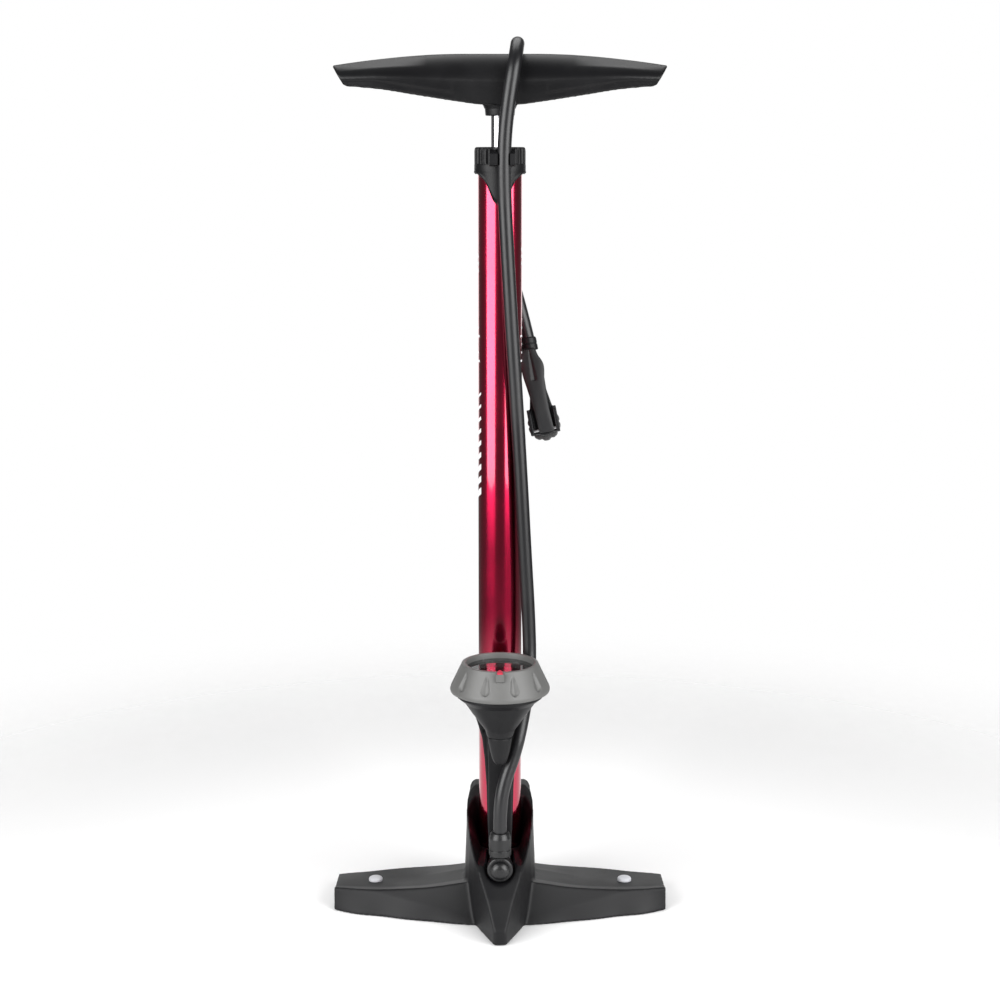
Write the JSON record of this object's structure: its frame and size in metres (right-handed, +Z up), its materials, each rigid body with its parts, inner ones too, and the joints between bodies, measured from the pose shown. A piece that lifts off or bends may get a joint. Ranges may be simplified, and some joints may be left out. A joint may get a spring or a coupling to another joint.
{
  "type": "floor bike pump",
  "caption": "Upright floor pump with wide winged handle, round barrel, three-pronged foot, dial gauge on a bracket, and a looped hose with a lever chuck.",
  "frame": {"origin": "centre of the pump's outline on the floor, under the foot, measured without the hose and chuck", "axes": "+Z up along the barrel, +X along the handle to the pump's right, -Y to the front with the gauge"},
  "size_m": [0.252, 0.142, 0.648],
  "materials": {
    "foot_plastic": "moulded, fine grain",
    "bracket_plastic": "moulded, fine grain",
    "cap_plastic": "moulded, satin",
    "handle_plastic": "soft matte grip",
    "handle_core_plastic": "moulded",
    "foot_rubber": "matte",
    "stud_grey": "matte grey",
    "barrel_anodised": "glossy anodised crimson",
    "rod_chrome": "polished",
    "steel": "zinc plated",
    "brass": "turned",
    "inner_plastic": "moulded",
    "seal_rubber": "matte",
    "fitting_black": "satin",
    "gauge_case": "satin",
    "gauge_tail_black": "semi gloss",
    "gauge_bezel": "satin grey",
    "marker_red": "glossy red",
    "dial_white": "printed scale",
    "needle_black": "matte",
    "lens_clear": "clear plastic",
    "hose_rubber": "satin black",
    "chuck_black": "satin",
    "lever_grey": "satin dark grey",
    "nut_grey": "satin grey",
    "insert_red": "soft red",
    "plunger_steel": "turned"
  },
  "bodies": {
    "root": {"base_foot": "foot_plastic", "foot_pads": "foot_rubber", "wing_studs": "stud_grey", "base_screws": "steel", "barrel": "barrel_anodised", "bottom_plug": "inner_plastic", "plug_seal": "seal_rubber", "check_valve_spring": "steel", "outlet_tube": "brass", "manifold": "inner_plastic", "gauge_air_tube": "brass", "swivel_bolt": "fitting_black", "swivel_washer": "fitting_black", "barrel_cap": "cap_plastic", "rod_bushing": "inner_plastic", "rod_wiper": "seal_rubber", "top_bumper": "seal_rubber", "gauge_housing": "gauge_case", "gauge_socket": "brass", "gauge_tail": "gauge_tail_black", "bourdon_tube": "brass", "movement_plate": "brass", "sector_pin": "steel", "dial": "dial_white", "lens_gasket": "seal_rubber", "gauge_lens": "lens_clear", "gauge_bracket": "bracket_plastic", "bracket_screw": "steel", "hose": "hose_rubber", "chuck_collar": "chuck_black", "chuck_body": "chuck_black", "chuck_nut": "nut_grey", "chuck_insert": "insert_red", "lever_pin": "steel"},
    "plunger": {"handle_core": "handle_core_plastic", "handle_grip": "handle_plastic", "handle_pin": "steel", "piston_rod": "rod_chrome", "piston": "inner_plastic", "piston_seal": "seal_rubber", "piston_bolt": "steel"},
    "check_valve": {"check_valve": "seal_rubber"},
    "hose_swivel": {"swivel_elbow": "fitting_black", "swivel_seals": "seal_rubber", "hose_ferrule": "fitting_black"},
    "bezel": {"bezel_ring": "gauge_bezel", "bezel_marker": "marker_red"},
    "sector": {"sector_gear": "brass"},
    "needle": {"needle": "needle_black", "needle_pinion": "steel"},
    "chuck_lever": {"chuck_lever": "lever_grey"},
    "chuck_plunger": {"chuck_plunger": "plunger_steel"}
  },
  "joints": [
    {"name": "handle_slide", "type": "slide", "parent": "root", "child": "plunger", "axis": [0, 0, 1], "range_m": [0, 0.48], "deforming": ["hose"]},
    {"name": "check_valve_lift", "type": "slide", "parent": "root", "child": "check_valve", "axis": [0, -1, 0], "range_m": [0, 0.0015], "stiffness_N_per_m": 120, "springref_m": -0.002, "deforming": ["check_valve_spring"]},
    {"name": "hose_turn", "type": "hinge", "parent": "root", "child": "hose_swivel", "pos_m": [0, -0.034, 0.048], "axis": [0, 1, 0], "range_deg": [-40, 40], "deforming": ["hose"]},
    {"name": "bezel_turn", "type": "hinge", "parent": "root", "child": "bezel", "pos_m": [0, -0.035, 0.19], "axis": [0, 0, 1], "continuous": true},
    {"name": "sector_turn", "type": "hinge", "parent": "root", "child": "sector", "pos_m": [0, -0.017, 0.183], "axis": [0, 0, 1], "range_deg": [0, 33.75], "stiffness_Nm_per_rad": 0.002, "springref_deg": -5.73},
    {"name": "needle_turn", "type": "hinge", "parent": "root", "child": "needle", "pos_m": [0, -0.035, 0.188], "axis": [0, 0, -1], "range_deg": [0, 270]},
    {"name": "lever_turn", "type": "hinge", "parent": "root", "child": "chuck_lever", "pos_m": [0.03306, 0.01668, 0.36741], "axis": [0.9816, 0, 0.1908], "range_deg": [0, 80]},
    {"name": "plunger_push", "type": "slide", "parent": "root", "child": "chuck_plunger", "axis": [0.0413, 0.9763, -0.2125], "range_m": [0, 0.0008]}
  ],
  "couplings": [
    {"joint": "needle_turn", "follows": "sector_turn", "ratio": 8},
    {"joint": "plunger_push", "follows": "lever_turn", "m_per_rad": 0.000573}
  ]
}
